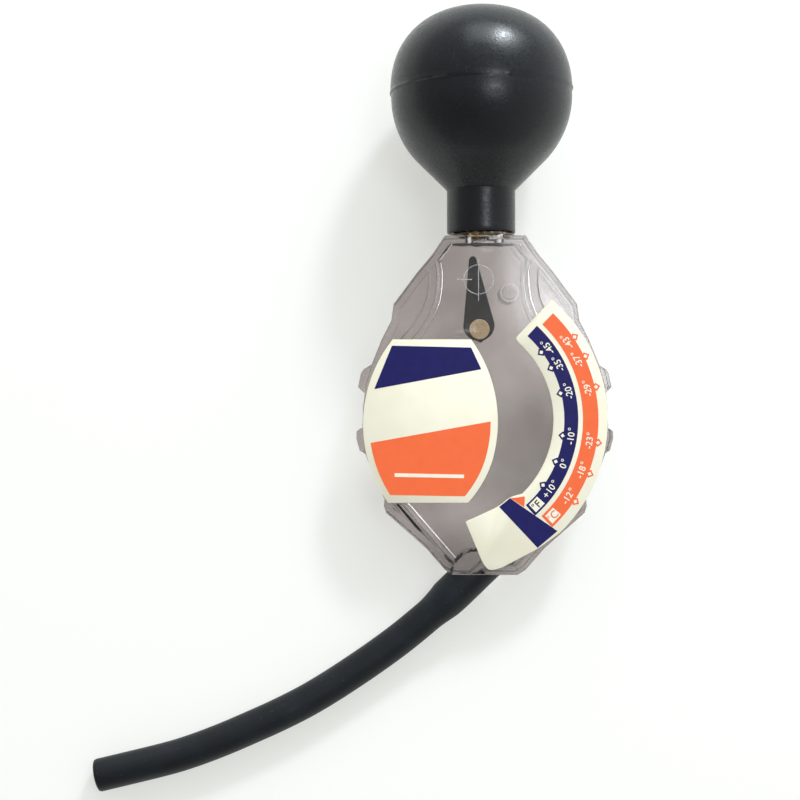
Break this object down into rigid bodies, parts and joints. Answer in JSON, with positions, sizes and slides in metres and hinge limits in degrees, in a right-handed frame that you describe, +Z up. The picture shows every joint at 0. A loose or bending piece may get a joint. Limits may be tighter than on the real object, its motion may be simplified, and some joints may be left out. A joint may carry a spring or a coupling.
{
  "type": "coolant hydrometer",
  "caption": "Dial coolant hydrometer: rubber squeeze bulb on a flat clear keyhole housing with a swinging pointer, printed scale and a suction hose.",
  "frame": {"origin": "on the table under the middle of the part's plan, measured without the hose", "axes": "+Z up from the table the tester lies on, +Y towards the bulb, +X to the right of the dial"},
  "size_m": [0.1688, 0.2544, 0.0595],
  "materials": {
    "bulb_rubber": "satin",
    "sealant": "gloss",
    "clear_plastic": "gloss",
    "steel": "satin",
    "pointer_plastic": "matte",
    "brass": "satin",
    "label_film": "satin",
    "hose_rubber": "matte"
  },
  "bodies": {
    "housing": {"front_shell": "clear_plastic", "back_shell": "clear_plastic", "pivot_pin": "steel", "neck_sealant": "sealant", "name_label": "label_film", "scale_label": "label_film", "hose": "hose_rubber"},
    "pointer": {"pointer": "pointer_plastic", "pointer_disc": "brass"},
    "bulb": {"bulb": "bulb_rubber"}
  },
  "joints": [
    {"name": "pointer_swing", "type": "hinge", "parent": "housing", "child": "pointer", "pos_m": [-0.0015, -0.00623, 0.01947], "axis": [0, -0.1328, 0.9911], "range_deg": [-22, 293]},
    {"name": "bulb_squeeze", "type": "slide", "parent": "housing", "child": "bulb", "axis": [0, -0.9911, -0.1328], "range_m": [0, 0.012], "stiffness_N_per_m": 1500, "deforming": ["bulb"]}
  ]
}
